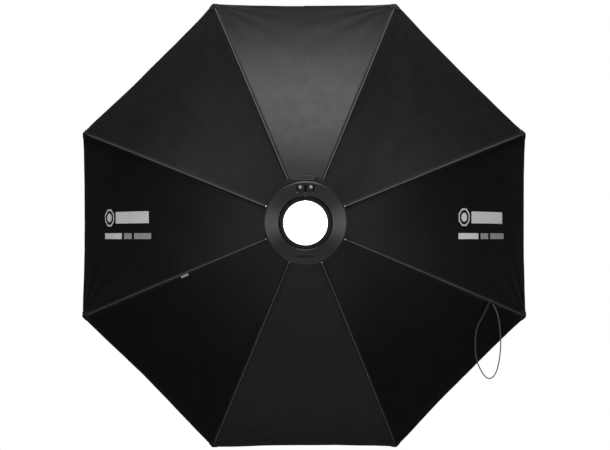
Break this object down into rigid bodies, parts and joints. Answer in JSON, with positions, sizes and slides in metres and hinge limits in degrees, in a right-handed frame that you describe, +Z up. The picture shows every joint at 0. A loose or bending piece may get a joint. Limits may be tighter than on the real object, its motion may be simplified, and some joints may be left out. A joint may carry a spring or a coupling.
{
  "type": "octabox",
  "caption": "Folding octagonal softbox on a clamp speedring, with black cloth panels on hinged ribs, an inner baffle, a front diffuser and a hanging loop.",
  "frame": {"origin": "centre of the clamp bore at its rear mouth, where the flash head enters", "axes": "+Y runs forwards along the light's axis, from the speedring to the diffuser; +Z is up, with the clamp at the top of the ring; +X is right as seen from behind"},
  "size_m": [1.2028, 0.483, 1.2028],
  "materials": {
    "housing_plastic": "fine moulded texture",
    "cover_plastic": "satin moulded plastic",
    "lever_plastic": "satin moulded plastic",
    "knuckle_plastic": "glass-filled nylon",
    "collar_metal": "black powder coat",
    "liner_rubber": "ribbed rubber",
    "cuff_rubber": "soft matt",
    "cap_rubber": "matt",
    "pin_steel": "bright zinc",
    "rod_steel": "drawn spring steel",
    "shell_cloth": "black woven nylon, silver inside",
    "white_cloth": "translucent woven nylon",
    "white_elastic": "ribbed elastic",
    "black_webbing": "folded grosgrain",
    "cord_elastic": "braided elastic cord",
    "label_cloth": "woven satin"
  },
  "bodies": {
    "speedring": {"hub_housing": "housing_plastic", "rear_cover": "cover_plastic", "front_plate": "housing_plastic", "clamp_collar": "collar_metal", "grip_liner": "liner_rubber", "clamp_pins": "pin_steel", "clamp_bolt": "pin_steel", "hinge_pins": "pin_steel", "plate_screws": "pin_steel", "hub_gasket": "cuff_rubber", "inner_baffle": "white_cloth", "baffle_straps": "white_elastic", "front_diffuser": "white_cloth"},
    "lever": {"clamp_lever": "lever_plastic"},
    "rib_1": {"rib_knuckle_1": "knuckle_plastic", "rib_rod_1": "rod_steel", "tip_cap_1": "cap_rubber", "shell_panel_1": "shell_cloth", "seam_binding_1": "black_webbing"},
    "rib_2": {"rib_knuckle_2": "knuckle_plastic", "rib_rod_2": "rod_steel", "tip_cap_2": "cap_rubber", "shell_panel_2": "shell_cloth", "seam_binding_2": "black_webbing"},
    "rib_3": {"rib_knuckle_3": "knuckle_plastic", "rib_rod_3": "rod_steel", "tip_cap_3": "cap_rubber", "shell_panel_3": "shell_cloth", "seam_binding_3": "black_webbing", "loop_tab": "black_webbing", "hang_loop": "cord_elastic"},
    "rib_4": {"rib_knuckle_4": "knuckle_plastic", "rib_rod_4": "rod_steel", "tip_cap_4": "cap_rubber", "shell_panel_4": "shell_cloth", "seam_binding_4": "black_webbing"},
    "rib_5": {"rib_knuckle_5": "knuckle_plastic", "rib_rod_5": "rod_steel", "tip_cap_5": "cap_rubber", "shell_panel_5": "shell_cloth", "seam_binding_5": "black_webbing"},
    "rib_6": {"rib_knuckle_6": "knuckle_plastic", "rib_rod_6": "rod_steel", "tip_cap_6": "cap_rubber", "shell_panel_6": "shell_cloth", "seam_binding_6": "black_webbing", "care_label": "label_cloth"},
    "rib_7": {"rib_knuckle_7": "knuckle_plastic", "rib_rod_7": "rod_steel", "tip_cap_7": "cap_rubber", "shell_panel_7": "shell_cloth", "seam_binding_7": "black_webbing"},
    "rib_8": {"rib_knuckle_8": "knuckle_plastic", "rib_rod_8": "rod_steel", "tip_cap_8": "cap_rubber", "shell_panel_8": "shell_cloth", "seam_binding_8": "black_webbing"}
  },
  "joints": [
    {"name": "clamp_lever_swing", "type": "hinge", "parent": "speedring", "child": "lever", "pos_m": [0.0125, 0.0158, 0.083], "axis": [0, 1, 0], "range_deg": [0, 75]},
    {"name": "rib_1_fold", "type": "hinge", "parent": "speedring", "child": "rib_1", "pos_m": [0.03061, 0.0308, 0.07391], "axis": [-0.9239, 0, 0.3827], "range_deg": [0, 52], "deforming": ["shell_panel_1", "front_diffuser", "inner_baffle", "baffle_straps"]},
    {"name": "rib_2_fold", "type": "hinge", "parent": "speedring", "child": "rib_2", "pos_m": [0.07391, 0.0308, 0.03061], "axis": [-0.3827, 0, 0.9239], "range_deg": [0, 52], "deforming": ["shell_panel_2"]},
    {"name": "rib_3_fold", "type": "hinge", "parent": "speedring", "child": "rib_3", "pos_m": [0.07391, 0.0308, -0.03061], "axis": [0.3827, 0, 0.9239], "range_deg": [0, 52], "deforming": ["shell_panel_3"]},
    {"name": "rib_4_fold", "type": "hinge", "parent": "speedring", "child": "rib_4", "pos_m": [0.03061, 0.0308, -0.07391], "axis": [0.9239, 0, 0.3827], "range_deg": [0, 52], "deforming": ["shell_panel_4"]},
    {"name": "rib_5_fold", "type": "hinge", "parent": "speedring", "child": "rib_5", "pos_m": [-0.03061, 0.0308, -0.07391], "axis": [0.9239, 0, -0.3827], "range_deg": [0, 52], "deforming": ["shell_panel_5"]},
    {"name": "rib_6_fold", "type": "hinge", "parent": "speedring", "child": "rib_6", "pos_m": [-0.07391, 0.0308, -0.03061], "axis": [0.3827, 0, -0.9239], "range_deg": [0, 52], "deforming": ["shell_panel_6"]},
    {"name": "rib_7_fold", "type": "hinge", "parent": "speedring", "child": "rib_7", "pos_m": [-0.07391, 0.0308, 0.03061], "axis": [-0.3827, 0, -0.9239], "range_deg": [0, 52], "deforming": ["shell_panel_7"]},
    {"name": "rib_8_fold", "type": "hinge", "parent": "speedring", "child": "rib_8", "pos_m": [-0.03061, 0.0308, 0.07391], "axis": [-0.9239, 0, -0.3827], "range_deg": [0, 52], "deforming": ["shell_panel_8"]}
  ],
  "couplings": [
    {"joint": "rib_2_fold", "follows": "rib_1_fold", "ratio": 1},
    {"joint": "rib_3_fold", "follows": "rib_1_fold", "ratio": 1},
    {"joint": "rib_4_fold", "follows": "rib_1_fold", "ratio": 1},
    {"joint": "rib_5_fold", "follows": "rib_1_fold", "ratio": 1},
    {"joint": "rib_6_fold", "follows": "rib_1_fold", "ratio": 1},
    {"joint": "rib_7_fold", "follows": "rib_1_fold", "ratio": 1},
    {"joint": "rib_8_fold", "follows": "rib_1_fold", "ratio": 1}
  ]
}
